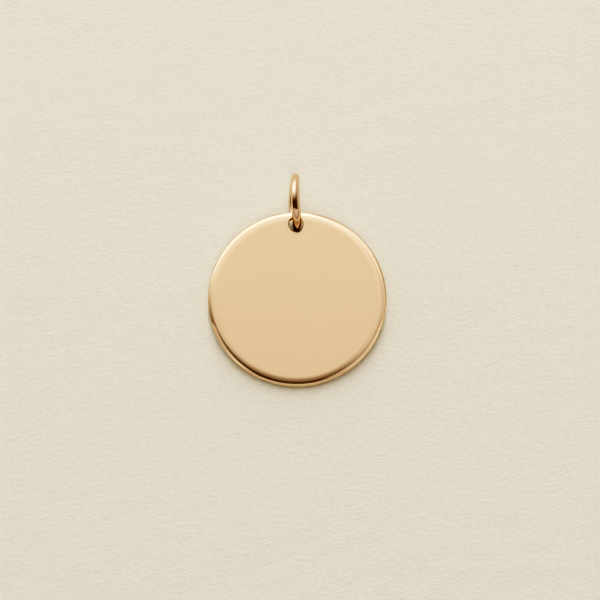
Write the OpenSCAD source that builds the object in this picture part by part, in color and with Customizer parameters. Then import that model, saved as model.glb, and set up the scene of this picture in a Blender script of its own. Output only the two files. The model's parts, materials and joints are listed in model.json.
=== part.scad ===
// Plain round disc pendant on a jump ring, lying as it comes to rest by itself.
// The ring stands in the disc's hole and props that end up; the far edge touches the surface.
// Millimetres. +Y runs from the disc to the ring and +Z is up. The origin is the middle of the
// ground that the pendant covers, at the surface.

/* [Disc] */
// Diameter of the disc
disc_d = 16; // [13:0.5:20]
// Thickness of the disc
disc_t = 0.9; // [0.8:0.05:1.05]
// Radius of the rounded edge, the same on both faces
edge_r = 0.38; // [0.2:0.02:0.38]
// Radius of the soft roll-off that polishing leaves just inside the edge
roll_r = 6; // [4:0.5:10]
// Angle, in degrees, that the roll-off turns through before the edge begins
roll_a = 4.5; // [2:0.5:6]

/* [Hole] */
// Diameter of the drilled hole
hole_d = 1.3; // [1.2:0.05:1.5]
// Metal left between the hole and the disc's rim
bridge_w = 0.55; // [0.45:0.05:0.8]
// Radius of the hole's smoothed lips
lip_r = 0.07; // [0.03:0.01:0.1]

/* [Jump ring] */
// Outside diameter of the ring
ring_d = 5.2; // [4.8:0.1:6.5]
// Diameter of the ring's wire
wire_d = 0.8; // [0.6:0.05:0.85]
// Clearance kept between the ring and the disc where they meet
play = 0.04; // [0.03:0.01:0.08]
// Lean of the ring out of the upright, in degrees, towards +X
ring_lean = 3.5; // [0:0.5:6]
// Turn of the ring from the disc's own centre line, in degrees, seen from above
ring_turn = 1; // [-3:0.2:3]
// Offset of the wire from the middle of the hole, towards +X
wire_x = 0.02; // [0:0.02:0.1]

/* [Hidden] */
$fn = 96;

// The disc's profile is drawn in its own section, with Z counted from the middle of the metal
disc_r = disc_d / 2;
half_t = disc_t / 2;
edge_y = disc_r - edge_r;
edge_z = half_t - roll_r + (roll_r - edge_r) * cos(roll_a);
flat_r = edge_y - (roll_r - edge_r) * sin(roll_a);
rolled_r = flat_r + roll_r * sin(roll_a);

hole_r = hole_d / 2;
hole_y = disc_r - bridge_w - hole_r;
cut_over = 0.5;

wire_r = wire_d / 2;
ring_mid_r = ring_d / 2 - wire_r;

// A wire that stands beside the middle of the round hole meets its sides this much sooner
wire_room = hole_r - wire_r;
sooner = wire_room - sqrt(pow(wire_room, 2) - pow(wire_x, 2));

// The disc slides down the standing ring until two lips of its hole meet the wire: the lower
// one on the rim side from inside the ring, and the upper one on the disc's side from outside.
// Both are circles in the section, so the ring's middle is where two larger circles cross.
rim_lip = [hole_y + hole_r + lip_r, lip_r - half_t];
disc_lip = [hole_y - hole_r - lip_r, half_t - lip_r];
from_rim_lip = ring_mid_r - wire_r - lip_r - sooner - play;
from_disc_lip = ring_mid_r + wire_r + lip_r + sooner + play;
lip_gap = norm(rim_lip - disc_lip);
lip_way = (rim_lip - disc_lip) / lip_gap;
along = (pow(from_disc_lip, 2) - pow(from_rim_lip, 2) + pow(lip_gap, 2)) / (2 * lip_gap);
across = sqrt(pow(from_disc_lip, 2) - pow(along, 2));
ring_way = disc_lip + along * lip_way + across * [-lip_way[1], lip_way[0]] - [hole_y, 0];

// The ring's middle and its axis in the section, once it leans and turns about the hole's middle
ring_mid = [hole_y + ring_way[0] * cos(ring_turn) + ring_way[1] * sin(ring_lean) * sin(ring_turn),
            ring_way[1] * cos(ring_lean)];
ring_axis = [cos(ring_lean) * sin(ring_turn), -sin(ring_lean)];

// The surface touches the far edge's lower rounding and the bottom of the leaning ring
far_edge = [-edge_y, -edge_z];
far_way = ring_mid - far_edge;
ring_drop = ring_mid_r * cos(ring_lean) + wire_r;
lift_a = asin((ring_drop - edge_r) / norm(far_way)) - atan2(far_way[1], far_way[0]);

function lifted(p) = [p[0] * cos(lift_a) - p[1] * sin(lift_a), p[0] * sin(lift_a) + p[1] * cos(lift_a)];

// How far the ring reaches from its middle along Y (side 0) or Z (side 1), after the lift
function reach(side) = ring_mid_r * sqrt(1 - pow(lifted(ring_axis)[side], 2)) + wire_r;

rise = max(edge_r - lifted(far_edge)[1], reach(1) - lifted(ring_mid)[1]);
low_y = lifted([-edge_y, edge_z])[0] - edge_r;
high_y = lifted(ring_mid)[0] + reach(0);
mid_y = (low_y + high_y) / 2;

// Half of the disc's section: flat face, soft roll-off, rounded edge and a short straight wall
module half_section() {
    square([flat_r, half_t]);
    intersection() {
        translate([flat_r, half_t - roll_r]) circle(r = roll_r);
        square([rolled_r, half_t]);
    }
    translate([edge_y, edge_z]) circle(r = edge_r);
    square([disc_r, edge_z]);
}

module blank() {
    rotate_extrude() {
        half_section();
        mirror([0, 1]) half_section();
    }
}

// What is cut away beside the bore, so that a round lip is left at one face
module lip_cut() {
    translate([0, 0, half_t - lip_r]) rotate_extrude() difference() {
        square([hole_r + lip_r, lip_r + cut_over]);
        translate([hole_r + lip_r, 0]) circle(r = lip_r);
    }
}

module drilled_hole() {
    cylinder(h = disc_t + 2 * cut_over, r = hole_r, center = true);
    lip_cut();
    mirror([0, 0, 1]) lip_cut();
}

// Sets a piece, drawn in the disc's own section, down on the surface
module at_rest() {
    translate([0, -mid_y, rise]) rotate([lift_a, 0, 0]) children();
}

module disc() {
    color([0.87, 0.72, 0.52]) at_rest() difference() {
        blank();
        translate([0, hole_y, 0]) drilled_hole();
    }
}

module jump_ring() {
    color([0.78, 0.6, 0.38]) at_rest()
        translate([wire_x, hole_y, 0]) rotate([0, ring_lean, ring_turn])
            translate([0, ring_way[0], ring_way[1]]) rotate([0, 90, 0])
                rotate_extrude() translate([ring_mid_r, 0]) circle(r = wire_r);
}

disc();
jump_ring();
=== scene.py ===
import json
import math

import bpy
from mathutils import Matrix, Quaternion, Vector


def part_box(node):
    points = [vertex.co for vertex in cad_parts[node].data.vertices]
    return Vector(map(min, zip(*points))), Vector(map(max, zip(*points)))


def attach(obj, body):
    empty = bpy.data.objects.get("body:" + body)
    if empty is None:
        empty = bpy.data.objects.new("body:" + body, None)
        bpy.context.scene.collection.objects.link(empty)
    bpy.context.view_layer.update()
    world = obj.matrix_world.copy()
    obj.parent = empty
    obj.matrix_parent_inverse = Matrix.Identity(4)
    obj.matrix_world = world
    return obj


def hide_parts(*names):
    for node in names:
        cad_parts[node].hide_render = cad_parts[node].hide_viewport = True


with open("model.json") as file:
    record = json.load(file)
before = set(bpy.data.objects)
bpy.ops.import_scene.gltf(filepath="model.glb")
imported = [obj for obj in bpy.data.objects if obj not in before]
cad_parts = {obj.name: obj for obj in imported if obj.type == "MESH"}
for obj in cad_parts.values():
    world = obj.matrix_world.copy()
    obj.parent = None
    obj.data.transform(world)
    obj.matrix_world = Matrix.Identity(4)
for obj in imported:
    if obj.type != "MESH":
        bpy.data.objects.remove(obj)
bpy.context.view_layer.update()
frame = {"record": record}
bpy.ops.object.select_all(action="DESELECT")

# Disc: one round blank of sheet metal, gold all over. It is stamped, its rim is tumbled round,
# and its two faces are polished flat, which leaves a soft roll-off just inside the rim. The
# hole for the ring is drilled close to the rim, and its lips are smoothed.
MM = 0.001
disc_r = 8 * MM
half_t = 0.45 * MM
edge_r = 0.38 * MM
roll_r = 6 * MM
roll_a = math.radians(4.5)
shoulder_w = 0.41 * MM
shoulder_r = 0.6 * MM
shoulder_a = math.radians(40)
upright_a = math.radians(90)
hole_r = 0.65 * MM
lip_r = 0.07 * MM
bridge_w = 0.55 * MM
cut_over = 0.2 * MM

# Ends and centres of the section's arcs: roll-off, shoulder, tight corner, and the hole's lips
rolled_r = disc_r - shoulder_w
rolled_z = half_t - roll_r * (1 - math.cos(roll_a))
flat_r = rolled_r - roll_r * math.sin(roll_a)
shoulder_y = rolled_r - shoulder_r * math.sin(roll_a)
shoulder_z = rolled_z - shoulder_r * math.cos(roll_a)
corner_r = (disc_r - shoulder_y - shoulder_r * math.sin(shoulder_a)) / (1 - math.sin(shoulder_a))
corner_y = disc_r - corner_r
corner_z = shoulder_z + (shoulder_r - corner_r) * math.cos(shoulder_a)
hole_y = disc_r - bridge_w - hole_r
lip_y = hole_r + lip_r
lip_z = half_t - lip_r

DISC_STEPS = 288
HOLE_STEPS = 160
ROLL_STEPS = 8
SHOULDER_STEPS = 12
CORNER_STEPS = 12
LIP_STEPS = 10
ABOUT_X = (1, 0, 0)
ABOUT_Y = (0, 1, 0)
ABOUT_Z = (0, 0, 1)
SAME_POINT = 0.00001 * MM


def start_section(name, y, z):
    """A new object in edit mode, with one selected point from which its section is drawn."""
    bpy.ops.mesh.primitive_plane_add(size=edge_r)
    started = bpy.context.active_object
    started.name = started.data.name = name
    bpy.ops.object.mode_set(mode="EDIT")
    bpy.ops.mesh.select_all(action="SELECT")
    bpy.ops.mesh.merge(type="CENTER")
    bpy.ops.transform.translate(value=(0, y, z))
    return started


def draw_arc(y, z, angle, steps):
    """Draws the section on from its selected end, round a centre, outwards and down if angle > 0."""
    bpy.ops.mesh.spin(steps=steps, angle=angle, center=(0, y, z), axis=ABOUT_X)


def draw_down(length):
    """Draws the section straight down from its selected end."""
    bpy.ops.mesh.extrude_vertices_move(TRANSFORM_OT_translate={"value": (0, 0, -length)})


def turn_section(steps):
    """Turns the drawn section into a solid round the upright axis, and closes its two ends."""
    bpy.ops.mesh.select_all(action="SELECT")
    bpy.ops.mesh.spin(steps=steps, angle=2 * math.pi, center=(0, 0, 0), axis=ABOUT_Z)
    bpy.ops.mesh.select_all(action="SELECT")
    bpy.ops.mesh.remove_doubles(threshold=SAME_POINT)
    bpy.ops.mesh.select_all(action="DESELECT")
    bpy.ops.mesh.select_non_manifold()
    bpy.ops.mesh.edge_face_add()
    bpy.ops.mesh.select_all(action="SELECT")
    bpy.ops.mesh.normals_make_consistent(inside=False)
    bpy.ops.object.mode_set(mode="OBJECT")


def apply_modifier(piece, kind, **settings):
    """Finishes the active piece with one modifier and applies it."""
    bpy.ops.object.modifier_add(type=kind)
    modifier = piece.modifiers[-1]
    for setting, value in settings.items():
        setattr(modifier, setting, value)
    bpy.ops.object.modifier_apply(modifier=modifier.name)


def place(piece, middle, turn):
    """Sets a finished piece down where it belongs, and keeps that place in its mesh."""
    piece.location = middle
    piece.rotation_mode = "QUATERNION"
    piece.rotation_quaternion = turn
    bpy.ops.object.transform_apply(location=True, rotation=True, scale=True)


cutter = start_section("hole_cutter", lip_y, half_t + cut_over)
draw_down(cut_over)
draw_arc(lip_y, lip_z, -upright_a, LIP_STEPS)
draw_down(2 * lip_z)
draw_arc(lip_y, -lip_z, -upright_a, LIP_STEPS)
draw_down(cut_over)
turn_section(HOLE_STEPS)
cutter.location = (0, hole_y, 0)
cutter.select_set(False)

disc = start_section("gold_disc", flat_r, half_t)
draw_arc(flat_r, half_t - roll_r, roll_a, ROLL_STEPS)
draw_arc(shoulder_y, shoulder_z, shoulder_a - roll_a, SHOULDER_STEPS)
draw_arc(corner_y, corner_z, upright_a - shoulder_a, CORNER_STEPS)
draw_down(2 * corner_z)
draw_arc(corner_y, -corner_z, upright_a - shoulder_a, CORNER_STEPS)
draw_arc(shoulder_y, -shoulder_z, shoulder_a - roll_a, SHOULDER_STEPS)
draw_arc(flat_r, roll_r - half_t, roll_a, ROLL_STEPS)
turn_section(DISC_STEPS)
apply_modifier(disc, "BOOLEAN", object=cutter)
bpy.data.objects.remove(cutter)

# The lips run out flush into the faces, which leaves slivers of no width there
bpy.ops.object.mode_set(mode="EDIT")
bpy.ops.mesh.select_all(action="SELECT")
bpy.ops.mesh.remove_doubles(threshold=SAME_POINT)
bpy.ops.mesh.dissolve_degenerate(threshold=SAME_POINT)
bpy.ops.object.mode_set(mode="OBJECT")

# Shading weighted by face area keeps the large flat faces truly flat in a reflection
bpy.ops.object.shade_smooth()
apply_modifier(disc, "WEIGHTED_NORMAL", weight=100)

# The far edge touches the floor and the ring holds this end up, so the disc lies tilted. The
# tilt is worked out for an edge with one plain rounding, which this one stays close to.
edge_y = disc_r - edge_r
edge_z = half_t - roll_r + (roll_r - edge_r) * math.cos(roll_a)
disc_low, disc_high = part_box("disc")
disc_middle = (disc_low + disc_high) / 2
disc_middle.x = 0
half_height = (disc_high.z - disc_low.z) / 2
lift = math.asin((half_height - edge_r - edge_z) / edge_y)
disc_turn = Quaternion(ABOUT_X, lift)
place(disc, disc_middle, disc_turn)


def new_material(name):
    """A material with one shader. Returns it, its node tree, the shader's inputs and the space."""
    made = bpy.data.materials.new(name)
    made.use_nodes = True
    made.node_tree.nodes.clear()
    shader = made.node_tree.nodes.new("ShaderNodeBsdfPrincipled")
    output = made.node_tree.nodes.new("ShaderNodeOutputMaterial")
    made.node_tree.links.new(shader.outputs["BSDF"], output.inputs["Surface"])
    space = made.node_tree.nodes.new("ShaderNodeTexCoord").outputs["Object"]
    return made, made.node_tree, shader.inputs, space


def in_turned_space(tree, space, middle=(0, 0, 0), turn=(0, 0, 0), stretch=(1, 1, 1)):
    """The same space counted from another middle, turned, and stretched along its own axes."""
    made = tree.nodes.new("ShaderNodeMapping")
    made.vector_type = "TEXTURE"
    made.inputs["Location"].default_value = middle
    made.inputs["Rotation"].default_value = turn
    made.inputs["Scale"].default_value = stretch
    tree.links.new(space, made.inputs["Vector"])
    return made.outputs["Vector"]


def split_axes(tree, vector):
    """The X, Y and Z sockets of a place or a direction."""
    made = tree.nodes.new("ShaderNodeSeparateXYZ")
    tree.links.new(vector, made.inputs["Vector"])
    return made.outputs["X"], made.outputs["Y"], made.outputs["Z"]


def noise(tree, space, size, detail, roughness=0.5):
    """Noise in that space, whose largest blots are about that size in metres."""
    made = tree.nodes.new("ShaderNodeTexNoise")
    made.inputs["Scale"].default_value = 1 / size
    made.inputs["Detail"].default_value = detail
    made.inputs["Roughness"].default_value = roughness
    tree.links.new(space, made.inputs["Vector"])
    return made.outputs["Fac"]


def remap(tree, socket, lowest, highest, to_lowest, to_highest, smooth=False):
    """Carries one range of values over to another, and holds it at its ends."""
    made = tree.nodes.new("ShaderNodeMapRange")
    made.interpolation_type = "SMOOTHSTEP" if smooth else "LINEAR"
    for slot, value in (("From Min", lowest), ("From Max", highest),
                        ("To Min", to_lowest), ("To Max", to_highest)):
        made.inputs[slot].default_value = value
    tree.links.new(socket, made.inputs["Value"])
    return made.outputs["Result"]


def combine(tree, operation, first, second):
    """A sum, product or other result of two values. Each is a socket or a plain number."""
    made = tree.nodes.new("ShaderNodeMath")
    made.operation = operation
    for slot, value in zip(made.inputs, (first, second)):
        if isinstance(value, bpy.types.NodeSocket):
            tree.links.new(value, slot)
        else:
            slot.default_value = value
    return made.outputs["Value"]


def far_from_axis(tree, across, along):
    """How far a place is from an upright axis, from its two distances square to each other."""
    squares = [combine(tree, "MULTIPLY", part, part) for part in (across, along)]
    return combine(tree, "POWER", combine(tree, "ADD", *squares), 0.5)


def blend_colours(tree, factor, first, second):
    """A colour between two, at a factor from 0 to 1. Each is a socket or three plain numbers."""
    made = tree.nodes.new("ShaderNodeMix")
    made.data_type = "RGBA"
    for name, colour in (("A", first), ("B", second)):
        if isinstance(colour, bpy.types.NodeSocket):
            tree.links.new(colour, made.inputs[name])
        else:
            made.inputs[name].default_value = (*colour, 1)
    tree.links.new(factor, made.inputs["Factor"])
    return made.outputs["Result"]


def bumps(tree, heights):
    """Surface relief from several (height socket, depth in metres) pairs, laid over each other."""
    normal = None
    for height, depth in heights:
        made = tree.nodes.new("ShaderNodeBump")
        made.inputs["Distance"].default_value = depth
        tree.links.new(height, made.inputs["Height"])
        if normal:
            tree.links.new(normal, made.inputs["Normal"])
        normal = made.outputs["Normal"]
    return normal


# The polish is a little hazy on the faces and brighter on the edge, with a trace of fine grain
FACE_ROUGHNESS = 0.16
RIM_ROUGHNESS = 0.1
HAZE_SPREAD = 0.08
sheet_haze_size = 2.5 * MM
sheet_grain_size = 0.09 * MM
sheet_grain_depth = 0.0003 * MM
deep_sheet_gold = (0.79, 0.606, 0.411)
pale_sheet_gold = (0.8, 0.616, 0.421)

sheet, tree, metal, where = new_material("gold_sheet")
metal["Metallic"].default_value = 1
across_disc, along_disc, through_disc = split_axes(
    tree, in_turned_space(tree, where, middle=disc_middle, turn=(lift, 0, 0)))
from_axis = far_from_axis(tree, across_disc, along_disc)
on_rim = remap(tree, from_axis, flat_r - 0.2 * MM, flat_r + 0.5 * MM, 0, 1, smooth=True)
haze = noise(tree, where, sheet_haze_size, 3)
polish = combine(tree, "MULTIPLY", remap(tree, on_rim, 0, 1, FACE_ROUGHNESS, RIM_ROUGHNESS),
                 remap(tree, haze, 0.3, 0.7, 1 - HAZE_SPREAD, 1 + HAZE_SPREAD))
polished = blend_colours(tree, haze, deep_sheet_gold, pale_sheet_gold)

# The drill has left the wall of the hole less smooth than the polished faces and lips. The wall is
# also painted paler, as painted light that lifts the shade inside the hole.
DRILLED_ROUGHER = 0.15
painted_light_bore_gold = (0.92, 0.75, 0.55)
from_bore = far_from_axis(tree, across_disc, combine(tree, "SUBTRACT", along_disc, hole_y))
in_bore = remap(tree, from_bore, hole_r + 0.01 * MM, hole_r + 0.03 * MM, 1, 0)
tree.links.new(combine(tree, "ADD", polish, remap(tree, in_bore, 0, 1, 0, DRILLED_ROUGHER)),
               metal["Roughness"])
tree.links.new(blend_colours(tree, in_bore, polished, painted_light_bore_gold), metal["Base Color"])
sheet_grain = noise(tree, where, sheet_grain_size, 2)
tree.links.new(bumps(tree, [(sheet_grain, sheet_grain_depth)]), metal["Normal"])
disc.data.materials.clear()
disc.data.materials.append(sheet)
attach(disc, "root")
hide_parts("disc")

# Jump ring: a round gold wire bent into one closed ring, which hangs the disc on its chain. It
# stands in the disc's hole by itself, leaning a little, and its inside holds the rim.
wire_r = 0.4 * MM
ring_mid_r = 2.2 * MM
RING_STEPS = 192
WIRE_STEPS = 64
chain_ring = frame["record"]["mounts"][0]
ring_middle = Vector(chain_ring["pos_m"])
ring_turn = Vector(ABOUT_X).rotation_difference(Vector(chain_ring["axis"]))

bpy.ops.object.select_all(action="DESELECT")
bpy.ops.mesh.primitive_circle_add(vertices=WIRE_STEPS, radius=wire_r)
ring = bpy.context.active_object
ring.name = ring.data.name = "gold_jump_ring"
bpy.ops.object.mode_set(mode="EDIT")
bpy.ops.mesh.select_all(action="SELECT")
bpy.ops.transform.translate(value=(0, ring_mid_r, 0))
bpy.ops.mesh.spin(steps=RING_STEPS, angle=2 * math.pi, center=(0, 0, 0), axis=ABOUT_X)
bpy.ops.mesh.select_all(action="SELECT")
bpy.ops.mesh.remove_doubles(threshold=SAME_POINT)
bpy.ops.mesh.normals_make_consistent(inside=False)
bpy.ops.object.mode_set(mode="OBJECT")
bpy.ops.object.shade_smooth()

# Where each point lies round the wire: outwards from the ring's middle, and along the ring's axis
round_wire = ring.data.attributes.new("round_wire", "FLOAT_VECTOR", "POINT")
for point, place_round in zip(ring.data.vertices, round_wire.data):
    outwards = math.hypot(point.co.y, point.co.z) - ring_mid_r
    place_round.vector = (outwards / wire_r, point.co.x / wire_r, 0)

# Springing it shut over the disc has left the ring a little out of flat
spring = 0.083 * MM
spring_a = math.radians(-4.8)
spring_middle = 0.51
for point in ring.data.vertices:
    round_ring = math.atan2(point.co.z, point.co.y) + spring_a
    point.co.x -= spring * (spring_middle - math.cos(2 * round_ring))
place(ring, ring_middle, ring_turn)

# Drawing has left faint lines along the wire, whose width counts in radii of the wire, and the
# haze of the polish is finer than the disc's
WIRE_ROUGHNESS = (0.05, 0.075)
draw_line_width = 0.11
draw_line_depth = 0.00025 * MM
wire_haze_size = 0.9 * MM
deep_wire_gold = (0.78, 0.588, 0.43)
pale_wire_gold = (0.795, 0.603, 0.445)

wire, tree, metal, where = new_material("gold_wire")
metal["Metallic"].default_value = 1
wire_places = tree.nodes.new("ShaderNodeAttribute")
wire_places.attribute_name = "round_wire"
wire_place = wire_places.outputs["Vector"]
haze = noise(tree, where, wire_haze_size, 3)
tree.links.new(remap(tree, haze, 0.3, 0.7, *WIRE_ROUGHNESS), metal["Roughness"])
draw_lines = noise(tree, wire_place, draw_line_width, 2)
tree.links.new(bumps(tree, [(draw_lines, draw_line_depth)]), metal["Normal"])

# The wire is painted paler where the disc hangs on it, as painted light. Its two sides there and the
# part in the hole are painted dark brown, as painted shade, but not the wire under the disc.
painted_light_gold = (0.91, 0.88, 0.84)
painted_shade_brown = (0.16, 0.12, 0.09)
hole_middle = disc_middle + disc_turn @ Vector((0, hole_y, 0))
way_from_hole = tree.nodes.new("ShaderNodeVectorMath")
way_from_hole.operation = "DISTANCE"
way_from_hole.inputs[1].default_value = hole_middle
tree.links.new(where, way_from_hole.inputs[0])
from_hole = way_from_hole.outputs["Value"]
near_hole = remap(tree, from_hole, 1.4 * MM, 2.1 * MM, 1, 0)
buffed = blend_colours(tree, haze, deep_wire_gold, pale_wire_gold)
with_painted_light = blend_colours(tree, near_hole, buffed, painted_light_gold)
to_side = combine(tree, "ABSOLUTE", split_axes(tree, wire_place)[1], 0)
shade_reach = remap(tree, from_hole, 0.85 * MM, 2.9 * MM, -0.15, 1.12)
past_shade_reach = remap(tree, combine(tree, "SUBTRACT", to_side, shade_reach), -0.05, 0.15, 0, 1)
above_underside = remap(tree, split_axes(tree, where)[2], 1.4 * MM, 1.9 * MM, 0, 1)
painted_shade = combine(tree, "MULTIPLY", above_underside, past_shade_reach)
tree.links.new(blend_colours(tree, painted_shade, with_painted_light, painted_shade_brown), metal["Base Color"])
ring.data.materials.clear()
ring.data.materials.append(wire)
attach(ring, "root")
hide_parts("jump_ring")

# Floor: plain, pale and matt, with a fine felted grain whose short crisp ridges run across it. It is
# painted a little paler towards the back, as painted light. It only carries the pendant and isn't
# part of it.
floor_size = 4
painted_light_from = -27 * MM
painted_light_to = 27 * MM
ridge_size = 0.3 * MM
ridge_depth = 0.15 * MM
ridge_stretch = 2
ridge_turn = math.radians(20)
swell_size = 2 * MM
swell_depth = 0.12 * MM
bpy.ops.object.select_all(action="DESELECT")
bpy.ops.mesh.primitive_plane_add(size=floor_size)
floor = bpy.context.active_object
floor.name = floor.data.name = "floor"
felt, tree, cover, where = new_material("pale_floor")
cover["Roughness"].default_value = 1
cover["Specular IOR Level"].default_value = 0.1
ridge_space = in_turned_space(tree, where, turn=(0, 0, ridge_turn), stretch=(ridge_stretch, 1, 1))
short_ridges = noise(tree, ridge_space, ridge_size, 4, 0.75)
long_swells = noise(tree, ridge_space, swell_size, 2)
tree.links.new(bumps(tree, [(short_ridges, ridge_depth), (long_swells, swell_depth)]),
               cover["Normal"])

# Painted light and shade on the grain: its dips are painted rosy and darker, and its ridges cream
# and lighter, on top of the relief from the bumps
painted_falloff = remap(tree, split_axes(tree, where)[1], painted_light_from, painted_light_to, 0, 1)
painted_shade_rosy = blend_colours(tree, painted_falloff, (0.78, 0.747, 0.648), (0.84, 0.808, 0.687))
painted_light_cream = blend_colours(tree, painted_falloff, (0.787, 0.819, 0.678), (0.846, 0.885, 0.717))
tree.links.new(blend_colours(tree, remap(tree, short_ridges, 0.3, 0.7, 0, 1), painted_shade_rosy, painted_light_cream),
               cover["Base Color"])
floor.data.materials.append(felt)

# Light: a plain soft studio, with a large window behind the pendant on the left, pale walls all
# round, and a dark camera stand overhead towards the front. Five softboxes are aimed at the
# flat disc alone, as flags keep them off everything else.
LIGHT_COLOUR = (1, 0.97, 0.81)
BACKDROP_COLOUR = (0.8, 0.77, 0.53)
STAND = 0.14
WALLS = 0.71
LOW_WALLS = 0.3
WINDOW = 2.14
studio = bpy.data.worlds.new("studio")
bpy.context.scene.world = studio
studio.use_nodes = True
tree = studio.node_tree
tree.nodes.clear()

# A direction's three parts run from -1 to 1: left to right, front to back and down to up
sideways, backwards, upwards = split_axes(
    tree, tree.nodes.new("ShaderNodeTexCoord").outputs["Generated"])

# Metal sees the room itself. The stand hides the light from the left over the pendant to the
# right. Its front edge is sharp and bends back at both ends. Behind it the room brightens
# evenly, the most in the window.
in_window = combine(tree, "MULTIPLY", remap(tree, sideways, 0.02, 0.2, 1, 0, smooth=True),
                    remap(tree, upwards, 0, 0.4, 0, 1))
lit = remap(tree, in_window, 0, 1, WALLS, WINDOW)
clear_of_stand = combine(tree, "ADD", remap(tree, backwards, -0.2, 0.2, 0, 0.62),
                         remap(tree, backwards, 0.2, 0.55, 0, 0.38))
behind = combine(tree, "MULTIPLY", STAND, combine(
    tree, "POWER", combine(tree, "DIVIDE", lit, STAND), clear_of_stand))
bend = combine(tree, "MULTIPLY", combine(tree, "MULTIPLY", sideways, sideways), 0.4)
in_stand = combine(tree, "MULTIPLY", remap(tree, combine(tree, "SUBTRACT", backwards, bend),
                                           -0.75, -0.71, 0, 1, smooth=True),
                   remap(tree, sideways, 0.7, 0.85, 1, 0, smooth=True))
in_front = combine(tree, "MULTIPLY", remap(tree, in_stand, 0, 1, 1, 0),
                   remap(tree, upwards, 0, 0.4, LOW_WALLS, WALLS))
room = combine(tree, "ADD", combine(tree, "MULTIPLY", behind, in_stand), in_front)

# Matt surfaces take their light from the back wall and from a narrow row of lamps, which runs
# overhead from the front to the back, so shadows fall towards the front and hardly to the sides
LAMPS = 7
BACK_WALL = 0.93
off_row = combine(tree, "ABSOLUTE", combine(tree, "SUBTRACT", sideways, 0.03), 0)
lamps = combine(tree, "MULTIPLY", remap(tree, off_row, 0, 0.16, LAMPS, 0, smooth=True),
                remap(tree, backwards, -0.78, -0.58, 0, 1, smooth=True))
back_wall = combine(tree, "ADD", remap(tree, backwards, -0.67, 1, 0, BACK_WALL),
                    combine(tree, "MULTIPLY", sideways, -0.07))
rays = tree.nodes.new("ShaderNodeLightPath")


def surroundings(colour, strength=None):
    """Light from all round, as strong as a socket says, or even and plain without one."""
    made = tree.nodes.new("ShaderNodeBackground")
    made.inputs["Color"].default_value = (*colour, 1)
    if strength:
        tree.links.new(strength, made.inputs["Strength"])
    return made.outputs["Background"]


def choose(ray, others_see, it_sees):
    """Shows one kind of ray its own surroundings, and the others to the rest."""
    made = tree.nodes.new("ShaderNodeMixShader")
    tree.links.new(rays.outputs[ray], made.inputs["Fac"])
    tree.links.new(others_see, made.inputs[1])
    tree.links.new(it_sees, made.inputs[2])
    return made.outputs["Shader"]


seen_by_matt = surroundings(LIGHT_COLOUR, combine(tree, "ADD", lamps, back_wall))
seen_by_all = choose("Is Glossy Ray", seen_by_matt, surroundings(LIGHT_COLOUR, room))
tree.links.new(choose("Is Camera Ray", seen_by_all, surroundings(BACKDROP_COLOUR)),
               tree.nodes.new("ShaderNodeOutputWorld").inputs["Surface"])

for_disc = bpy.data.collections.new("lit_by_softboxes")
for_disc.objects.link(disc)


def softbox(name, across, back, width, height, strength):
    """A softbox a metre away, swung that many degrees across and back from right overhead."""
    bpy.ops.object.light_add(type="AREA")
    box = bpy.context.active_object
    box.name = box.data.name = name
    box.data.shape = "RECTANGLE"
    box.data.size = width
    box.data.size_y = height
    box.data.energy = math.pi * width * height * strength
    box.data.color = LIGHT_COLOUR
    box.rotation_mode = "QUATERNION"
    box.rotation_quaternion = (Quaternion(ABOUT_Y, math.radians(across))
                               @ Quaternion(ABOUT_X, -math.radians(back)))
    box.location = box.rotation_quaternion @ Vector((0, 0, 1))
    box.visible_camera = False
    box.light_linking.receiver_collection = for_disc


softbox("overhead_softbox", -12.5, 10.8, 0.63, 0.3, 0.31)
softbox("overhead_right_softbox", 30, 8, 0.93, 0.39, 0.43)
softbox("back_softbox", 26.5, 37.4, 0.87, 0.73, 0.77)
softbox("right_softbox", 44.7, -22.6, 1, 0.64, 0.53)
softbox("left_softbox", -58, -21.1, 0.89, 0.62, 0.53)

# Camera: nearly straight above, with a long lens, and turned a little on its own axis
camera_height_a = math.radians(72.6)
camera_side_a = math.radians(2.24)
camera_roll = math.radians(-3.45)
camera_away = 400 * MM
frame_width = 53.73 * MM
aim_right = 0.2445 * MM
aim_up = -0.059 * MM
towards_camera = Vector((math.sin(camera_side_a) * math.cos(camera_height_a),
                         -math.cos(camera_side_a) * math.cos(camera_height_a),
                         math.sin(camera_height_a)))
camera_turn = ((-towards_camera).to_track_quat("-Z", "Y")
               @ Quaternion(ABOUT_Z, camera_roll))
aim = disc_middle + camera_turn @ Vector((aim_right, aim_up, 0))
bpy.ops.object.camera_add(location=aim + camera_away * towards_camera)
camera = bpy.context.active_object
camera.rotation_mode = "QUATERNION"
camera.rotation_quaternion = camera_turn
camera.data.lens = camera.data.sensor_width * camera_away / frame_width
bpy.context.scene.camera = camera

# The picture's own tones: dark ones fall off fast and bright ones roll off softly. Each point
# gives a light in the scene, as a share of white, and how bright the picture shows it.
WHITE = (1.58, 1.7, 1.456)
TONES = ((0.05, 0.005), (0.1, 0.067), (0.2, 0.29), (0.31, 0.53), (0.46, 0.75), (0.68, 0.92))
picture = bpy.context.scene.view_settings
picture.view_transform = "Standard"
picture.use_curve_mapping = True
picture.curve_mapping.white_level = WHITE
all_colours = picture.curve_mapping.curves[3]
for scene_light, picture_light in TONES:
    all_colours.points.new(scene_light, picture_light)
picture.curve_mapping.update()
